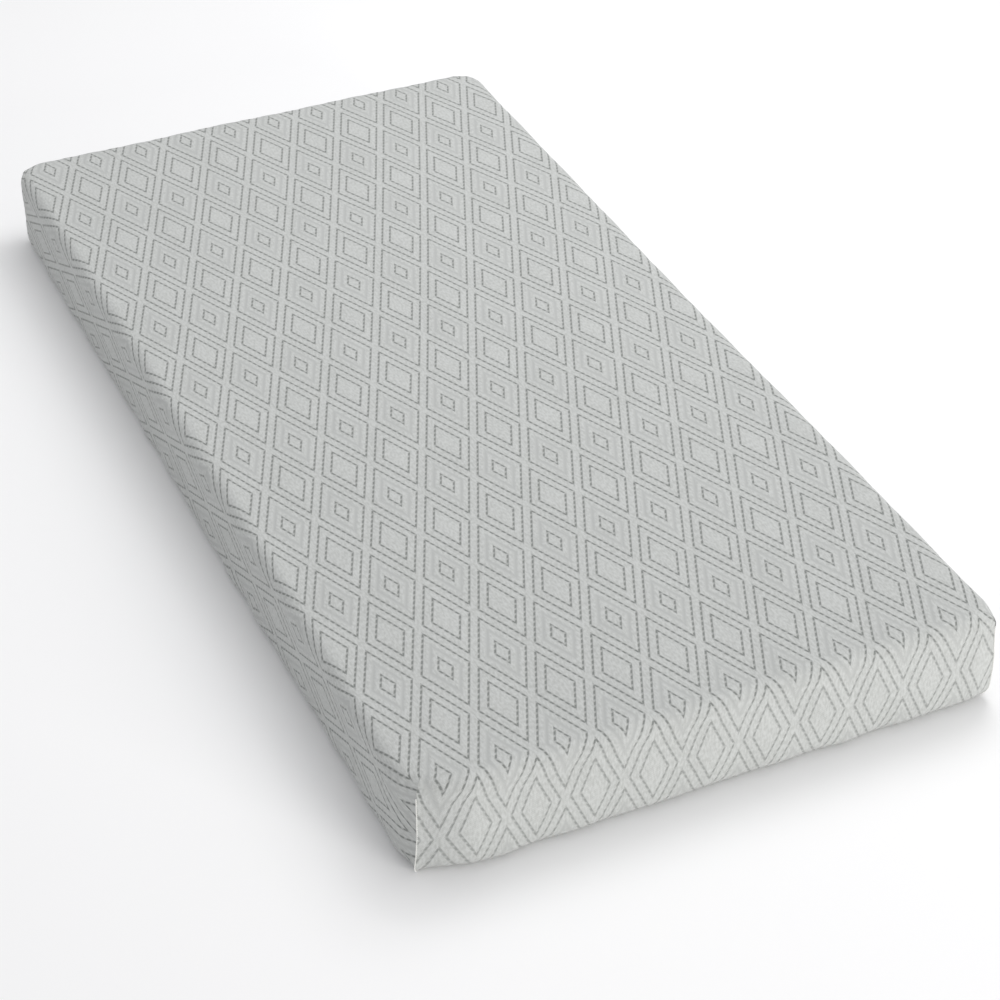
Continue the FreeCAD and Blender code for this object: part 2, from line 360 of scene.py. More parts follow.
# Cover, top panel. One piece of polyester jacquard ticking, knitted double with a fine filler
# yarn, cut as the top and four skirts in one. It is pulled tight over the foam, closed by an
# upright seam at each corner, and turned under to the seam with the base panel.
turned_under = 0.022
opening_half_length = 0.520
opening_top = 0.032
opening_bottom = 0.020
diamond_across = 0.05646
diamond_along = 0.12724
first_diamond = (0.0253, -0.0670)
grid_step = 0.0042
quarter = math.pi / 2


def steps_between(*stops):
    """Values from the first stop to the last, evenly spaced between each pair of stops."""
    values = [np.array([stops[0]])]
    for start, end in zip(stops, stops[1:]):
        count = max(1, round(abs(end - start) / grid_step))
        values.append(np.linspace(start, end, count + 1)[1:])
    return np.concatenate(values)


flat_run = corner_radius - top_roll
wall_start = flat_run + top_roll * quarter
wall_end = wall_start + top_height - top_roll - bottom_roll
under_start = wall_end + bottom_roll * quarter
skirt_end = under_start + turned_under - bottom_roll


def skirt_profile(q):
    """Down the cloth from the inner rectangle: distance out, height, and the way it faces."""
    turn = np.clip((q - flat_run) / top_roll, 0, quarter)
    tuck = np.clip((q - wall_end) / bottom_roll, 0, quarter)
    out = (np.minimum(q, flat_run) + top_roll * np.sin(turn)
           - bottom_roll * (1 - np.cos(tuck)) - np.maximum(q - under_start, 0))
    drop = (top_roll * (1 - np.cos(turn)) + bottom_roll * np.sin(tuck)
            + np.clip(q, wall_start, wall_end) - wall_start)
    return out, top_height - drop, np.sin(turn) * np.cos(tuck), np.cos(turn) - np.sin(tuck)


inner_x = half_width - corner_radius
inner_y = half_length - corner_radius
across_steps = steps_between(-inner_x, inner_x)
along_steps = steps_between(-inner_y, -sewn_half_length, -opening_half_length,
                            opening_half_length, sewn_half_length, inner_y)
fan_steps = np.linspace(0, quarter / 2, 9)
rows_out = steps_between(0, flat_run, wall_start, wall_start + top_height - top_roll - opening_top,
                         wall_start + top_height - top_roll - opening_bottom, wall_end,
                         under_start, skirt_end)
flat_rows = int(np.sum(rows_out <= flat_run + 1e-6))
out_rows, z_rows, facing_out, facing_up = skirt_profile(rows_out)

# Columns run anticlockwise round the bed: each side's straight stretch and half a corner at
# both of its ends. Side 0 is the near end, 1 the zip side, 2 the far end, 3 the other side.
columns = []
for side in range(4):
    facing = quarter * (side - 1)
    outward = np.array([round(math.cos(facing)), round(math.sin(facing))])
    onward = np.array([-outward[1], outward[0]])
    run = across_steps if side % 2 == 0 else along_steps
    far_out = inner_y if side % 2 == 0 else inner_x
    for turn in -fan_steps[:0:-1]:
        columns.append((side, outward * far_out + onward * run[0], facing, turn))
    for place in run:
        columns.append((side, outward * far_out + onward * place, facing, 0.0))
    for turn in fan_steps[1:]:
        columns.append((side, outward * far_out + onward * run[-1], facing, turn))
column_side = np.array([c[0] for c in columns])[:, None]
root_x = np.array([c[1][0] for c in columns])[:, None]
root_y = np.array([c[1][1] for c in columns])[:, None]
column_facing = np.array([c[2] for c in columns])[:, None]
column_turn = np.array([c[3] for c in columns])[:, None]
column_angle = column_facing + column_turn

# Each corner seam makes its corner squarer than a plain round: 0 is round and 1 is square. The
# near left seam also stands out at the floor, where the others are turned under.
squareness = {(-1, -1): 0.36, (1, -1): 0.50, (1, 1): 0.35, (-1, 1): 0.20}
seam_foot = {(-1, -1): 0.006}
column_corner = [tuple(np.sign(c[1]).astype(int)) for c in columns]
square = np.array([squareness.get(corner, 0.0) for corner in column_corner])[:, None]
foot = np.array([seam_foot.get(corner, 0.0) for corner in column_corner])[:, None]
below_rim = smooth(rows_out, flat_run, wall_start)
pinch = square * below_rim * corner_radius * (1 / np.cos(column_turn) - 1)
to_seam = np.abs(column_turn) / (quarter / 2)
pinch = pinch + foot * to_seam ** 3 * smooth(-z_rows, -0.020, -0.002)
skirt_x = root_x + (out_rows + pinch) * np.cos(column_angle)
skirt_y = root_y + (out_rows + pinch) * np.sin(column_angle)
skirt_z = np.broadcast_to(z_rows, skirt_x.shape)
skirt_form = np.stack([skirt_x, skirt_y, skirt_z], axis=-1)
skirt_normals = np.stack([facing_out * np.cos(column_angle), facing_out * np.sin(column_angle),
                          np.broadcast_to(facing_up, skirt_x.shape)], axis=-1)

# Where each point lies on the flat cut. The top lies a little askew, further left at its ends
# than in its middle. The near skirt is pulled a few millimetres more to the left, and the left
# skirt a few towards the near end. Most of that pull comes in over the rim.
near_pull = 0.0034
near_stretch = 0.017
near_raise = 0.0015
left_pull = 0.0065
near_askew = 0.0035
far_askew = 0.0065
middle_askew = 0.0010
askew_reach = 0.53
rim_share, rim_reach = 0.9, 0.030
wall_share, wall_reach = 0.1, 0.055


def askew(y):
    """How far the pattern lies to the zip side of its true place."""
    return middle_askew - np.where(y < 0, near_askew, far_askew) * (y / askew_reach) ** 2


sideways = (rows_out * np.sin(column_turn) * (1 - below_rim)
            + corner_radius * column_turn * below_rim)
down = rows_out * (np.cos(column_turn) * (1 - below_rim) + below_rim)
pulled = (rim_share * np.clip((rows_out - flat_run) / rim_reach, 0, 1)
          + wall_share * np.maximum(rows_out - flat_run, 0) / wall_reach)
cloth_x = root_x + down * np.cos(column_facing) - sideways * np.sin(column_facing)
cloth_y = root_y + down * np.sin(column_facing) + sideways * np.cos(column_facing)
cloth_x = cloth_x + (column_side == 0) * pulled * (near_pull - near_stretch * skirt_x)
cloth_y = cloth_y + (column_side == 3) * pulled * left_pull * smooth(skirt_y, -0.6, -0.2)
cloth_y = cloth_y - (column_side == 0) * pulled * near_raise
cloth_x = (cloth_x - askew(root_y)
           + (corner_push[0] + corner_lean) * pushed_back(skirt_x, skirt_y))
cloth_y = (cloth_y + corner_push[1] * pushed_back(skirt_x, skirt_y)
           + near_lean * at_near_end(skirt_y))
skirt_flat = np.stack([cloth_x, cloth_y], axis=-1)


def diamond_share(cloth):
    """0 at the middle of a diamond, 1 on the lattice between diamonds."""
    a = (cloth[..., 0] - first_diamond[0]) / diamond_across
    b = (cloth[..., 1] - first_diamond[1]) / diamond_along
    both = np.abs(a - np.round(a)) + np.abs(b - np.round(b))
    return 1 - np.abs(1 - 2 * both)


puff = 0.0008
unevenness = 0.0007
hem_pucker = 0.0016
hem_height = 0.006
hem_spread = 0.012
seam_pucker = 0.0007
pucker_from_seam = 0.006
pucker_spread = 0.005
pucker_end = (0.088, 0.078)
seam_head = 0.082
seam_heel = 0.001


def soften(points, cloth, normals, from_seam):
    """Moves points from the plain form to the cloth's: puffed diamonds, waves and puckers."""
    x, y, z = points[..., 0], points[..., 1], points[..., 2]
    lift = -puff * diamond_share(cloth) ** 2
    lift = lift + unevenness * (ripple(x, y, (0.21, 0.16, 0.33), 4) - 0.5)
    around = np.where(np.abs(x) / half_width > np.abs(y) / half_length, y, x)
    hem = np.exp(-((z - hem_height) / hem_spread) ** 2)
    lift = lift + hem * hem_pucker * (ripple(around, 0 * x, (0.047, 0.071, 0.113), 9) - 0.6)
    beside_seam = (np.exp(-((from_seam - pucker_from_seam) / pucker_spread) ** 2)
                   * smooth(z, *pucker_end))
    lift = lift + seam_pucker * beside_seam * (ripple(z, 0 * x, (0.011, 0.017), 5) - 0.4)
    moved = points + normals * (lift * smooth(z, 0.0, 0.004))[..., None]
    moved = draw_in(moved)
    moved[..., 2] = np.maximum(moved[..., 2], 0.0)
    return moved


def mesh_object(name, points, faces, cloth=None):
    """A smooth mesh of the points that the faces use; cloth gives their places on the cut."""
    used = np.unique(np.concatenate([np.array(f) for f in faces]))
    renumber = np.zeros(len(points), np.int64)
    renumber[used] = np.arange(len(used))
    mesh = bpy.data.meshes.new(name)
    mesh.from_pydata(points[used].tolist(), [], [[int(renumber[v]) for v in f] for f in faces])
    if cloth is not None:
        corners = np.zeros(len(mesh.loops), np.int64)
        mesh.loops.foreach_get("vertex_index", corners)
        places = cloth[used][corners]
        layer = mesh.uv_layers.new(name="flat_cut")
        layer.uv.foreach_set("vector", places.astype(np.float32).ravel())
        low, high = places.min(axis=0), places.max(axis=0)
        bake = mesh.uv_layers.new(name="OFBake")
        spread = 0.01 + 0.98 * (places - low) / (high - low).max()
        bake.uv.foreach_set("vector", spread.astype(np.float32).ravel())
    mesh.shade_smooth()
    made = bpy.data.objects.new(name, mesh)
    bpy.context.scene.collection.objects.link(made)
    return made


# The middle of the top is a plain grid, whose edge points are the skirts' first row.
count_across, count_along = len(across_steps), len(along_steps)
middle_x, middle_y = np.meshgrid(across_steps, along_steps, indexing="ij")
middle_points = np.stack([middle_x, middle_y, np.full(middle_x.shape, top_height)], axis=-1)
middle_index = np.arange(middle_x.size).reshape(middle_x.shape)
from_seam = np.broadcast_to(corner_radius * (quarter / 2 - np.abs(column_turn))
                            + (column_turn == 0) * 0.05, skirt_x.shape)
middle_push = pushed_back(middle_x, middle_y)
middle_cloth = np.stack([middle_x - askew(middle_y)
                         + (corner_push[0] + corner_lean) * middle_push,
                         middle_y + corner_push[1] * middle_push
                         + near_lean * at_near_end(middle_y)], axis=-1)
kept = [(middle_points.reshape(-1, 3), middle_cloth.reshape(-1, 2),
         np.tile((0.0, 0.0, 1.0), (middle_x.size, 1)), np.ones(middle_x.size))]
skirt_index = np.zeros(skirt_x.shape, np.int64)
next_index = middle_x.size
for k in range(len(columns)):
    i = int(np.argmin(np.abs(across_steps - root_x[k, 0])))
    j = int(np.argmin(np.abs(along_steps - root_y[k, 0])))
    skirt_index[k, 0] = middle_index[i, j]
    first_own = 1
    if k and column_side[k, 0] != column_side[k - 1, 0]:
        skirt_index[k, 1:flat_rows] = skirt_index[k - 1, 1:flat_rows]
        first_own = flat_rows
    own = skirt_x.shape[1] - first_own
    skirt_index[k, first_own:] = next_index + np.arange(own)
    next_index += own
    kept.append((skirt_form[k, first_own:], skirt_flat[k, first_own:],
                 skirt_normals[k, first_own:], from_seam[k, first_own:]))
skirt_index[0, 1:flat_rows] = skirt_index[-1, 1:flat_rows]
panel_form, panel_cloth, panel_normals, panel_from_seam = (
    np.concatenate(parts) for parts in zip(*kept))
panel_points = soften(panel_form, panel_cloth, panel_normals, panel_from_seam)

panel_faces, rise_faces = [], []
for i in range(count_across - 1):
    for j in range(count_along - 1):
        panel_faces.append([middle_index[i, j], middle_index[i + 1, j],
                            middle_index[i + 1, j + 1], middle_index[i, j + 1]])
for k in range(len(columns)):
    onward_k = (k + 1) % len(columns)
    if column_side[onward_k, 0] != column_side[k, 0]:
        continue
    on_zip_side = column_side[k, 0] == 1 and column_turn[k, 0] == 0 == column_turn[onward_k, 0]
    middle_of_face = abs(root_y[k, 0] + root_y[onward_k, 0]) / 2
    for r in range(len(rows_out) - 1):
        face = list(dict.fromkeys([skirt_index[k, r], skirt_index[k, r + 1],
                                   skirt_index[onward_k, r + 1], skirt_index[onward_k, r]]))
        face_z = (z_rows[r] + z_rows[r + 1]) / 2
        if on_zip_side and middle_of_face < sewn_half_length and face_z < opening_bottom:
            rise_faces.append(face)
        elif not (on_zip_side and middle_of_face < opening_half_length
                  and opening_bottom < face_z < opening_top):
            panel_faces.append(face)

# The cloth's edges are folded in at the zip opening, and run up or down behind its face.
lip_in = (0.0004, 0.0013, 0.0030, 0.0052, 0.0054)
lip_up = (0.0006, 0.0009, 0.0009, 0.0004, -0.0060)
zip_columns = [k for k in range(len(columns))
               if column_side[k, 0] == 1 and column_turn[k, 0] == 0
               and abs(root_y[k, 0]) < opening_half_length + 1e-6]


def folded_lip(points, cloth, height, up, faces):
    """The points and cloth with the folded edge of the opening at height, its cloth towards up."""
    row = int(np.argmin(np.abs(z_rows - height)))
    edge = skirt_index[zip_columns, row]
    rings = [edge]
    for inwards, over in zip(lip_in, lip_up):
        rings.append(np.arange(len(points), len(points) + len(edge)))
        points = np.concatenate([points, points[edge] + (-inwards, 0, -up * over)])
        cloth = np.concatenate([cloth, cloth[edge] + (inwards * up, 0)])
    for one, other in zip(rings, rings[1:]):
        for n in range(len(edge) - 1):
            ring = [one[n], other[n], other[n + 1], one[n + 1]]
            faces.append(ring if up > 0 else ring[::-1])
    return points, cloth


panel_points, panel_cloth = folded_lip(panel_points, panel_cloth, opening_top, 1, panel_faces)
panel_points, panel_cloth = folded_lip(panel_points, panel_cloth, opening_bottom, -1, rise_faces)
cover = mesh_object("cover_top", panel_points, panel_faces, panel_cloth)
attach(cover, "mattress")
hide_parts("cover_top_panel")

# Knitted polyester jacquard: pale grey-green yarn, matt with a faint sheen. Dashed outlines in a
# darker yarn lie in fine furrows, their tone also holding painted shade for the furrows, and the
# lattice between the diamonds is smooth.
jacquard, tree, shader = new_material("knitted_polyester_jacquard", "#BDBFBB", 0.85,
                                      Sheen_Weight=0.22, Sheen_Roughness=0.45, IOR=1.46)
cut_place = add_node(tree, "ShaderNodeUVMap", {"uv_map": "flat_cut"})
cut_axes = add_node(tree, "ShaderNodeSeparateXYZ", None, {0: cut_place})
cells = []
for axis, pitch, first in ((0, diamond_across, first_diamond[0]),
                           (1, diamond_along, first_diamond[1])):
    place = reckon(tree, "MULTIPLY_ADD", cut_axes.outputs[axis], 1 / pitch, -first / pitch)
    nearest = reckon(tree, "ROUND", place)
    apart = reckon(tree, "SUBTRACT", place, nearest)
    cells.append(reckon(tree, "ABSOLUTE", apart))
both_ways = reckon(tree, "ADD", cells[0], cells[1])
is_small = reckon(tree, "LESS_THAN", both_ways, 0.5)
folded = reckon(tree, "PINGPONG", both_ways, 0.5)
share = reckon(tree, "MULTIPLY", folded, 2.0)

# Outlines: one near the lattice in every diamond, and a second that is small in every other row.
# The yarn is about 1.9 mm wide.
outer_line = 0.83
wide_line = 0.50
small_line = 0.25
line_half = 0.037
line_edge = 0.026
second_line = reckon(tree, "MULTIPLY_ADD", is_small, small_line - wide_line, wide_line)
gaps = []
for at in (outer_line, second_line):
    away = reckon(tree, "SUBTRACT", share, at)
    gaps.append(reckon(tree, "ABSOLUTE", away))
from_line = reckon(tree, "MINIMUM", gaps[0], gaps[1])
furrow = add_node(tree, "ShaderNodeMapRange", {"interpolation_type": "SMOOTHSTEP"},
                  {"Value": from_line, "From Min": line_half - line_edge,
                   "From Max": line_half + line_edge, "To Min": 1.0, "To Max": 0.0})

# Stitches of 4 mm every 7 mm along an outline, counted from a diamond's widest point.
stitches_per_row = 19.0
stitch_half = 0.30
stitch_edge = 0.09
between_stitches = 0.42
beat = reckon(tree, "MULTIPLY_ADD", cells[1], stitches_per_row, 0.5)
own_beat = reckon(tree, "MULTIPLY_ADD", is_small, -0.5, beat)
phase = reckon(tree, "FRACT", own_beat)
off_middle = reckon(tree, "SUBTRACT", phase, 0.5)
stitch_away = reckon(tree, "ABSOLUTE", off_middle)
stitch = add_node(tree, "ShaderNodeMapRange", {"interpolation_type": "SMOOTHSTEP"},
                  {"Value": stitch_away, "From Min": stitch_half - stitch_edge,
                   "From Max": stitch_half + stitch_edge, "To Min": 1.0,
                   "To Max": between_stitches})
full_outline = reckon(tree, "MULTIPLY", furrow, stitch)
# The near skirt's outlines are painted fainter: the front light fills their painted furrow shade
# there, and the skirt is pulled wider than the rest, which opens its outlines.
near_lit_faint = add_node(tree, "ShaderNodeMapRange", {"interpolation_type": "SMOOTHSTEP"},
                      {"Value": cut_axes.outputs[1], "From Min": -inner_y - wall_start,
                       "From Max": -inner_y - flat_run, "To Min": 0.68, "To Max": 1.0})
outline = reckon(tree, "MULTIPLY", full_outline, near_lit_faint)

# The filler is held down in a soft ring half way out in the diamonds with the small middle. The
# ring is painted a darker tone as shade in that hollow.
ring_line = 0.53
ring_half = 0.13
ring_gap = reckon(tree, "SUBTRACT", share, ring_line)
ring_away = reckon(tree, "ABSOLUTE", ring_gap)
ring_all = add_node(tree, "ShaderNodeMapRange", {"interpolation_type": "SMOOTHSTEP"},
                    {"Value": ring_away, "From Max": ring_half, "To Min": 1.0, "To Max": 0.0})
ring = reckon(tree, "MULTIPLY", ring_all, is_small)

# Knit: wales run along the bed and courses across it. Real ones are about 0.9 mm apart; they
# are drawn at 2.2 mm so that they show. The yarn's tone wanders a little from wale to wale.
wale = 0.0022
knit_place = add_node(tree, "ShaderNodeVectorMath", {"operation": "SCALE"},
                      {0: cut_place, "Scale": 2 * math.pi / wale})
knit_axes = add_node(tree, "ShaderNodeSeparateXYZ", None, {0: knit_place})
wale_wave = reckon(tree, "SINE", knit_axes.outputs[0])
course_wave = reckon(tree, "SINE", knit_axes.outputs[1])
knit = reckon(tree, "MULTIPLY", wale_wave, course_wave)
yarn_place = add_node(tree, "ShaderNodeVectorMath", {"operation": "MULTIPLY"},
                      {0: cut_place, 1: (1 / wale, 0.45 / wale, 1.0)})
yarn = add_node(tree, "ShaderNodeTexNoise", {"noise_dimensions": "2D"},
                {"Vector": yarn_place, "Scale": 1.0, "Detail": 2.0})
cloud = add_node(tree, "ShaderNodeTexNoise", {"noise_dimensions": "2D"},
                 {"Vector": cut_place, "Scale": 1 / 0.05, "Detail": 2.0})

ground_light, ground_dark, ring_shade_tone, outline_yarn_and_shade_tone = "#C2C4C2", "#A9ABA8", "#B2B4B2", "#7E817E"
yarn_share = add_node(tree, "ShaderNodeMapRange", None,
                      {"Value": yarn, "From Min": 0.30, "From Max": 0.70, "To Min": 0.60,
                       "To Max": -0.10})
cloud_share = add_node(tree, "ShaderNodeMapRange", None,
                       {"Value": cloud, "From Min": 0.35, "From Max": 0.65, "To Min": 0.12,
                        "To Max": 0.0})
tone_share = reckon(tree, "ADD", yarn_share, cloud_share)
ground = add_node(tree, "ShaderNodeMix", {"data_type": "RGBA"},
                  {"Factor": tone_share, 6: linear(ground_light), 7: linear(ground_dark)})
# Painted shade: the held-down ring is coloured darker than the ground.
ringed = add_node(tree, "ShaderNodeMix", {"data_type": "RGBA"},
                  {"Factor": ring, 6: ground.outputs[2], 7: linear(ring_shade_tone)})
# Painted shade: the outline tone is the darker yarn together with the shade in its furrows.
outlined = add_node(tree, "ShaderNodeMix", {"data_type": "RGBA"},
                    {"Factor": outline, 6: ringed.outputs[2], 7: linear(outline_yarn_and_shade_tone)})
tree.links.new(outlined.outputs[2], shader.inputs["Base Color"])

# Relief, in metres: the furrows, the ring that is held down, and the knit itself.
furrow_depth = 0.0005
ring_depth = 0.0004
knit_depth = 0.00008
furrowed = reckon(tree, "MULTIPLY", furrow, -furrow_depth)
ring_relief = reckon(tree, "MULTIPLY_ADD", ring, -ring_depth, furrowed)
full_relief = reckon(tree, "MULTIPLY_ADD", knit, knit_depth, ring_relief)
raise_by(tree, shader, full_relief, 1.0)
cover.data.materials.append(jacquard)

# Cover, base panel. Plain off-white polyester knit, flat under the bed, and on the zip side
# carried up to the zip. It is overlocked to the turned-under skirts on the other sides.
hem_out = out_rows[-1]
base_height = 0.0005
base_sag = 0.0004
base_outs = np.linspace(0, hem_out, 5)
base_index = np.zeros((len(columns), len(base_outs)), np.int64)
base_flat = middle_points.reshape(-1, 3).copy()
base_flat[:, 2] = base_height + base_sag * ripple(base_flat[:, 0], base_flat[:, 1],
                                                  (0.07, 0.12), 6)
base_start = len(panel_points)
hem_points = panel_points[skirt_index[:, -1]]
base_points = [panel_points, base_flat]
next_index = base_start + len(base_flat)
for k in range(len(columns)):
    base_index[k, 0] = base_start + middle_index.ravel()[skirt_index[k, 0]]
    root = base_flat[middle_index.ravel()[skirt_index[k, 0]]]
    steps = (base_outs[1:-1] / hem_out)[:, None]
    base_points.append(root + (hem_points[k] - root) * steps)
    base_index[k, 1:-1] = next_index + np.arange(len(steps))
    base_index[k, -1] = skirt_index[k, -1]
    next_index += len(steps)
base_points = np.concatenate(base_points)
base_faces = [list(face) for face in rise_faces]
for i in range(count_across - 1):
    for j in range(count_along - 1):
        base_faces.append([base_start + middle_index[i, j], base_start + middle_index[i, j + 1],
                           base_start + middle_index[i + 1, j + 1],
                           base_start + middle_index[i + 1, j]])
for k in range(len(columns)):
    onward_k = (k + 1) % len(columns)
    if column_side[onward_k, 0] != column_side[k, 0]:
        continue
    for r in range(len(base_outs) - 1):
        base_faces.append(list(dict.fromkeys([
            base_index[k, r], base_index[onward_k, r], base_index[onward_k, r + 1],
            base_index[k, r + 1]])))
base_panel = mesh_object("cover_base", base_points, base_faces)
plain_knit, tree, shader = new_material("plain_polyester_base_knit", "#CFCFCB", 0.88,
                                        Sheen_Weight=0.2, IOR=1.46)
place = add_node(tree, "ShaderNodeTexCoord").outputs["Object"]
# Loops of 1 mm, drawn at 2 mm so that they show, in a plain honeycomb. The sunk gaps between the
# loops are painted darker as shade.
loops = add_node(tree, "ShaderNodeTexVoronoi", {"feature": "SMOOTH_F1"},
                 {"Vector": place, "Scale": 1 / 0.002, "Randomness": 0.25, "Smoothness": 0.3})
two_tones(tree, shader, loops.outputs["Distance"], "#D6D6D2", "#ABABA6")
raise_by(tree, shader, loops.outputs["Distance"], 0.0004, invert=True)
base_panel.data.materials.append(plain_knit)
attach(base_panel, "mattress")
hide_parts("cover_base_panel")

# Corner seams. Each upright seam is sewn with a pale two-ply thread that shows as a thin raised
# line from the floor to the rolled top edge.
seam_thread_radius = 0.0004
seam_ply_radius = 0.0003
seam_twist = 0.004


def tube(path, radius, sides=6, closed=False):
    """Points and faces of a round tube along a path, with capped ends unless it is closed."""
    path = np.asarray(path, float)
    count = len(path)
    ahead = np.roll(path, -1, axis=0) - np.roll(path, 1, axis=0)
    if not closed:
        ahead[0], ahead[-1] = path[1] - path[0], path[-1] - path[-2]
    ahead /= np.linalg.norm(ahead, axis=1, keepdims=True)
    guide = np.array((0.0, 0.0, 1.0)) if np.abs(ahead[:, 2]).mean() < 0.7 else np.array(
        (1.0, 0.0, 0.0))
    side = np.cross(ahead, guide)
    side /= np.maximum(np.linalg.norm(side, axis=1, keepdims=True), 1e-9)
    above = np.cross(side, ahead)
    angles = np.arange(sides) * 2 * math.pi / sides
    ring = (side[:, None] * np.cos(angles)[:, None] + above[:, None] * np.sin(angles)[:, None])
    points = (path[:, None] + radius * ring).reshape(-1, 3)
    faces = []
    for n in range(count if closed else count - 1):
        here, there = n * sides, (n + 1) % count * sides
        for s in range(sides):
            t = (s + 1) % sides
            faces.append([here + s, here + t, there + t, there + s])
    if not closed:
        faces.append(list(range(sides))[::-1])
        faces.append(list(range((count - 1) * sides, count * sides)))
    return points, faces


def joined(parts):
    """Several sets of points and faces as one."""
    points, faces, start = [], [], 0
    for part_points, part_faces in parts:
        points.append(part_points)
        faces.extend([[start + v for v in face] for face in part_faces])
        start += len(part_points)
    return np.concatenate(points), faces


def resampled(path, step):
    """Points at even steps along a path."""
    path = np.asarray(path, float)
    run = np.concatenate([[0], np.cumsum(np.linalg.norm(np.diff(path, axis=0), axis=1))])
    at = np.linspace(0, run[-1], max(2, round(run[-1] / step) + 1))
    return np.stack([np.interp(at, run, path[:, a]) for a in range(3)], axis=-1), at


# Bright polyester sewing thread: a fine lengthways twist with a silky glint.
sewing_thread, tree, shader = new_material("spun_polyester_thread", "#EDEDE9", 0.5,
                                           Sheen_Weight=0.3, IOR=1.5)
place = add_node(tree, "ShaderNodeTexCoord").outputs["Object"]
# Fibre bundles of 0.3 mm, drawn at 0.6 mm so that they show.
fibres = add_node(tree, "ShaderNodeTexNoise", None,
                  {"Vector": place, "Scale": 1 / 0.0006, "Detail": 2.0})
two_tones(tree, shader, fibres, "#D9D9D4", "#FBFBF8")
raise_by(tree, shader, fibres, 0.0001)

seam_columns = {}
for k in range(len(columns)):
    if abs(column_turn[k, 0] - quarter / 2) < 1e-6:
        corner = tuple(np.sign(columns[k][1]).astype(int))
        seam_columns[corner] = k
corner_names = {(-1, -1): "near_left", (1, -1): "near_right", (1, 1): "far_right",
                (-1, 1): "far_left"}
for corner, k in seam_columns.items():
    first_row = int(np.argmin(np.abs(z_rows - seam_head)))
    last_row = int(np.argmin(np.abs(z_rows - seam_heel)))
    outwards = np.array([corner[0], corner[1], 0.0]) / math.sqrt(2)
    line = panel_points[skirt_index[k, first_row:last_row + 1]]
    line = line + skirt_normals[k, first_row:last_row + 1] * 0.5 * seam_thread_radius
    line, at = resampled(line, 0.0006)
    along = np.gradient(line, axis=0)
    along /= np.linalg.norm(along, axis=1, keepdims=True)
    across = np.cross(along, outwards)
    plies = []
    for ply_start in (0, math.pi):
        angle = ply_start + at * 2 * math.pi / seam_twist
        ply = line + seam_thread_radius * (across * np.cos(angle)[:, None]
                                           + outwards * np.sin(angle)[:, None])
        plies.append(tube(ply, seam_ply_radius))
    seam = mesh_object("corner_seam_" + corner_names[corner], *joined(plies))
    seam.data.materials.append(sewing_thread)
    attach(seam, "mattress")
    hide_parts("corner_seam_thread_" + corner_names[corner])

# Base seam. The skirts' hem and the base panel are overlocked together: a thread crosses the
# joint from side to side in close stitches, all round but for the zip side.
overlock_pitch = 0.003
overlock_reach = 0.0012
overlock_radius = 0.00022
overlock_height = 0.0003
hem_line = [hem_points[k] for k in range(len(columns))
            if not (column_side[k, 0] == 1 and column_turn[k, 0] == 0
                    and abs(root_y[k, 0]) < sewn_half_length - 1e-6)]
start = next(n for n in range(len(hem_line) - 1)
             if np.linalg.norm(hem_line[n + 1] - hem_line[n]) > 0.5)
hem_line = np.array(hem_line[start + 1:] + hem_line[:start + 1])
hem_line = hem_line[np.concatenate([[True], np.linalg.norm(np.diff(hem_line, axis=0),
                                                           axis=1) > 1e-6])]
hem_line, at = resampled(hem_line, overlock_pitch / 2)
along = np.gradient(hem_line, axis=0)
along /= np.linalg.norm(along, axis=1, keepdims=True)
across = np.cross(along, (0.0, 0.0, 1.0))
zigzag = hem_line + across * overlock_reach * np.where(np.arange(len(at)) % 2, 1, -1)[:, None]
zigzag[:, 2] = overlock_height
base_seam = mesh_object("base_seam", *tube(zigzag, overlock_radius, sides=5))
base_seam.data.materials.append(sewing_thread)
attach(base_seam, "mattress")
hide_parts("base_seam_thread")

# Zip tapes. Two woven polyester tapes lie behind the folded edges of the opening, a coil sewn
# along each inner edge. They are white like the base, with fine ribs along their length.
tape_rib = 0.0016
tape_depth = 0.0002
zip_tape_weave, tree, shader = new_material("woven_polyester_zip_tape", "#DDDDD9", 0.75,
                                            Sheen_Weight=0.15, IOR=1.5)
place = add_node(tree, "ShaderNodeTexCoord").outputs["Object"]
# Weave of 0.4 mm, drawn at 0.8 mm so that it shows. The sunk gaps between the threads are painted
# darker as shade.
weave = add_node(tree, "ShaderNodeTexBrick", {"offset": 0.5},
                 {"Vector": add_node(tree, "ShaderNodeVectorRotate", {"rotation_type": "Y_AXIS"},
                                     {"Vector": place, "Angle": quarter}),
                  "Scale": 1 / 0.0032, "Color1": linear("#E3E3DF"), "Color2": linear("#D6D6D1"),
                  "Mortar": linear("#B3B3AE"), "Mortar Size": 0.03})
tree.links.new(weave.outputs["Color"], shader.inputs["Base Color"])
raise_by(tree, shader, weave.outputs["Fac"], 0.0001, invert=True)
for name in ("upper", "lower"):
    low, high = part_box("zip_tape_" + name)
    run = np.arange(low.y, high.y + 1e-6, 0.005)
    rise = np.linspace(low.z, high.z, 4 * round((high.z - low.z) / tape_rib) + 1)
    run_grid, rise_grid = np.meshgrid(run, rise, indexing="ij")
    face = high.x - 0.0003 - tape_depth * (0.5 - 0.5 * np.cos(
        (rise_grid - low.z) * 2 * math.pi / tape_rib))
    grid = np.arange(run_grid.size).reshape(run_grid.shape)
    tape_faces = [[grid[i, j], grid[i + 1, j], grid[i + 1, j + 1], grid[i, j + 1]]
                  for i in range(len(run) - 1) for j in range(len(rise) - 1)]
    tape = mesh_object("zip_tape_woven_" + name,
                       np.stack([face, run_grid, rise_grid], axis=-1).reshape(-1, 3), tape_faces)
    tape.data.materials.append(zip_tape_weave)
    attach(tape, "mattress")
    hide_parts("zip_tape_" + name)

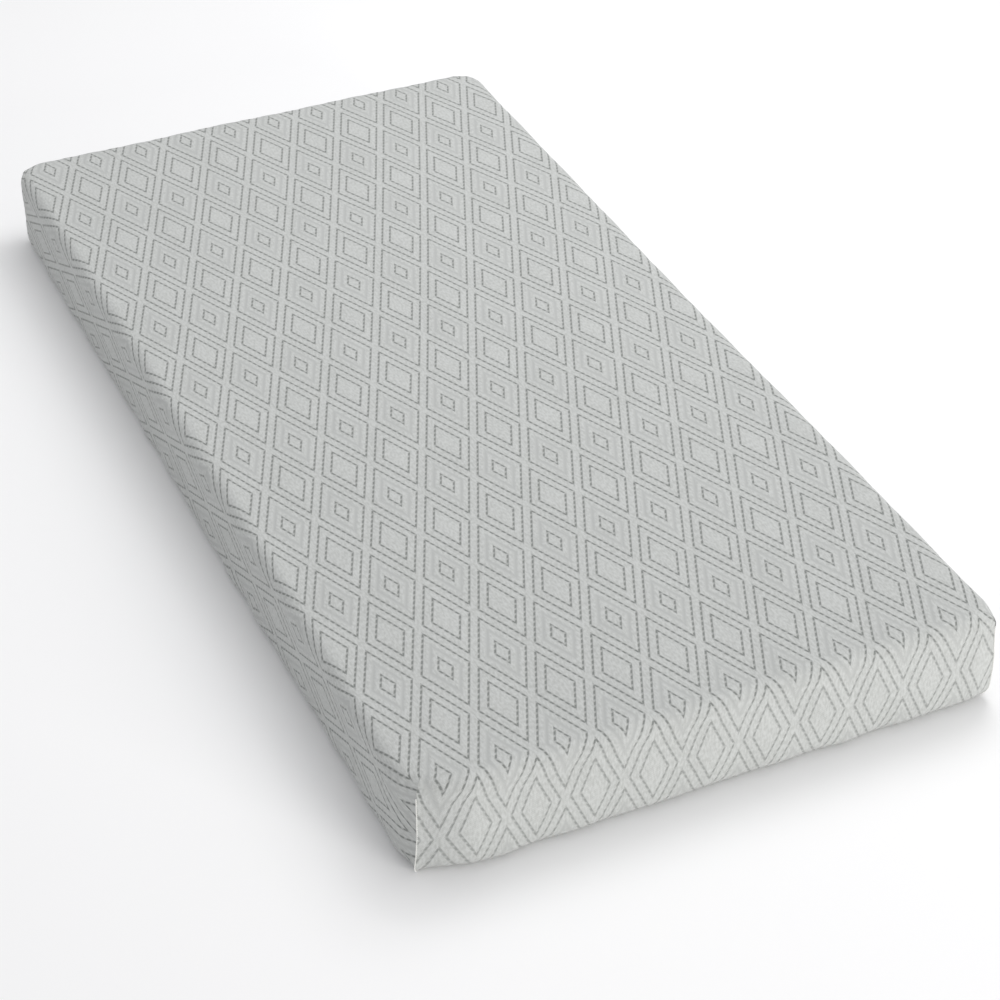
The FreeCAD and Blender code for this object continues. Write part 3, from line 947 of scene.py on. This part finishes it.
# Zip chain. Each half is one nylon monofilament wound into a long flattened coil and sewn to
# its tape's edge. The coils stand a little apart here, so that the slider can pass.
coil_pitch = 0.0016
coil_wire = 0.00032
coil_turn_points = 10
coil_nylon, tree, shader = new_material("nylon_monofilament_coil", "#E4E4E0", 0.35, IOR=1.53,
                                        Specular_IOR_Level=0.5)
place = add_node(tree, "ShaderNodeTexCoord").outputs["Object"]
drawn = add_node(tree, "ShaderNodeTexNoise", None,
                 {"Vector": place, "Scale": 1 / 0.0008, "Detail": 1.0})
two_tones(tree, shader, drawn, "#CFCFCA", "#F2F2EF")
drawn_gloss = add_node(tree, "ShaderNodeMapRange", None,
                       {"Value": drawn, "To Min": 0.28, "To Max": 0.48})
tree.links.new(drawn_gloss.outputs[0], shader.inputs["Roughness"])
for name, offset in (("upper", 0.0), ("lower", 0.5)):
    low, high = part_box("zip_coil_" + name)
    turns = (high.y - low.y - 2 * coil_wire) / coil_pitch
    angle = np.arange(round(turns * coil_turn_points) + 1) * 2 * math.pi / coil_turn_points
    reach_x = (high.x - low.x) / 2 - coil_wire
    reach_z = (high.z - low.z) / 2 - coil_wire
    wire = np.stack([(low.x + high.x) / 2 + reach_x * np.cos(angle + offset * 2 * math.pi),
                     low.y + coil_wire + coil_pitch * angle / (2 * math.pi),
                     (low.z + high.z) / 2 + reach_z * np.sin(angle + offset * 2 * math.pi)],
                    axis=-1)
    coil = mesh_object("zip_coil_wound_" + name, *tube(wire, coil_wire, sides=5))
    coil.data.materials.append(coil_nylon)
    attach(coil, "mattress")
    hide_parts("zip_coil_" + name)

# Zip slider, pull and stops. Die-cast zinc with a satin nickel plate; the stops are crimped
# from brass strip with the same plate. The pull hangs on the slider's crown.
nickel_plate, tree, shader = new_material("satin_nickel_plate", "#C9C5BD", 0.28, Metallic=1.0)
place = add_node(tree, "ShaderNodeTexCoord").outputs["Object"]
# Tumbling marks of 0.5 mm, drawn at 1 mm so that they show.
tumbled = add_node(tree, "ShaderNodeTexNoise", None,
                   {"Vector": place, "Scale": 1 / 0.001, "Detail": 4.0})
two_tones(tree, shader, tumbled, "#BDB9B1", "#D6D3CC")
plate_gloss = add_node(tree, "ShaderNodeMapRange", None,
                       {"Value": tumbled, "To Min": 0.2, "To Max": 0.42})
tree.links.new(plate_gloss.outputs[0], shader.inputs["Roughness"])
raise_by(tree, shader, tumbled, 0.00003)
for node in ("zip_slider_body", "zip_pull_tab", "zip_top_stop_upper", "zip_top_stop_lower",
             "zip_bottom_stop"):
    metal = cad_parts[node]
    metal.data.materials.clear()
    metal.data.materials.append(nickel_plate)
    rounding = metal.modifiers.new("cast_edges", "BEVEL")
    rounding.width = 0.00015
    rounding.segments = 2

# Topstitching. A row of lockstitches holds each folded edge to its tape, and a bar of close
# zigzag stitches shuts each end of the opening.
stitch_pitch = 0.0035
stitch_gap = 0.0007
stitch_radius = 0.00032
stitch_dip = 0.00045


def stitches(face_x, from_y, to_y, height):
    """A row of separate stitches along a straight line, each dipping into the cloth."""
    parts = []
    count = round((to_y - from_y) / stitch_pitch)
    for n in range(count):
        y = from_y + (n + 0.5) * (to_y - from_y) / count
        span = np.linspace(-1, 1, 7)
        reach = (stitch_pitch - stitch_gap) / 2
        parts.append(tube(np.stack([face_x - stitch_dip * span ** 4, y + reach * span,
                                    np.full(7, height)], axis=-1), stitch_radius))
    return joined(parts)


for name in ("upper", "lower"):
    low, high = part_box("zip_stitching_" + name)
    row = mesh_object("topstitching_" + name,
                      *stitches(high.x - 0.0002, low.y, high.y, (low.z + high.z) / 2))
    row.data.materials.append(sewing_thread)
    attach(row, "mattress")
    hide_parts("zip_stitching_" + name)
bar_pitch = 0.0007
for name in ("near", "far"):
    low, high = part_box("zip_bartack_" + name)
    rises = np.arange(low.z, high.z, bar_pitch)
    sway = np.where(np.arange(len(rises)) % 2, low.y, high.y)
    bar = np.stack([np.full(len(rises), high.x - 0.0001), sway, rises], axis=-1)
    tack = mesh_object("bartack_" + name, *tube(bar, stitch_radius))
    tack.data.materials.append(sewing_thread)
    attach(tack, "mattress")
    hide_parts("zip_bartack_" + name)

# Care label. A blank strip of white polyester satin with folded ends, sewn flat to the far end
# with a line of thread round its edge.
label_across = 40
label_up = 20
label_swell = 0.0006
low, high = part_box("care_label")
across_label = np.linspace(low.x, high.x, label_across + 1)
up_label = np.linspace(low.z, high.z, label_up + 1)
label_x, label_z = np.meshgrid(across_label, up_label, indexing="ij")
share_x = (label_x - low.x) / (high.x - low.x)
share_z = (label_z - low.z) / (high.z - low.z)
held_edge = np.minimum(np.minimum(share_x, 1 - share_x) * 4, np.minimum(share_z, 1 - share_z) * 2)
label_y = high.y - 0.0001 + label_swell * smooth(held_edge, 0.1, 1.0) * (
    0.6 + 0.4 * ripple(label_x, label_z, (0.031, 0.022), 8))
grid = np.arange(label_x.size).reshape(label_x.shape)
label = mesh_object("blank_care_label",
                    np.stack([label_x, label_y, label_z], axis=-1).reshape(-1, 3),
                    [[grid[i, j], grid[i, j + 1], grid[i + 1, j + 1], grid[i + 1, j]]
                     for i in range(label_across) for j in range(label_up)])
satin, tree, shader = new_material("polyester_satin_ribbon", "#F4F4F2", 0.38,
                                   Sheen_Weight=0.1, IOR=1.5)
place = add_node(tree, "ShaderNodeTexCoord").outputs["Object"]
# Satin floats of 0.2 mm, drawn at 0.7 mm so that they show.
floats = add_node(tree, "ShaderNodeTexWave", {"bands_direction": "Z"},
                  {"Vector": place, "Scale": 0.314 / 0.0007, "Distortion": 0.6})
two_tones(tree, shader, floats.outputs["Fac"], "#E9E9E6", "#F8F8F6")
raise_by(tree, shader, floats.outputs["Fac"], 0.00005)
label.data.materials.append(satin)
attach(label, "mattress")
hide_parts("care_label")
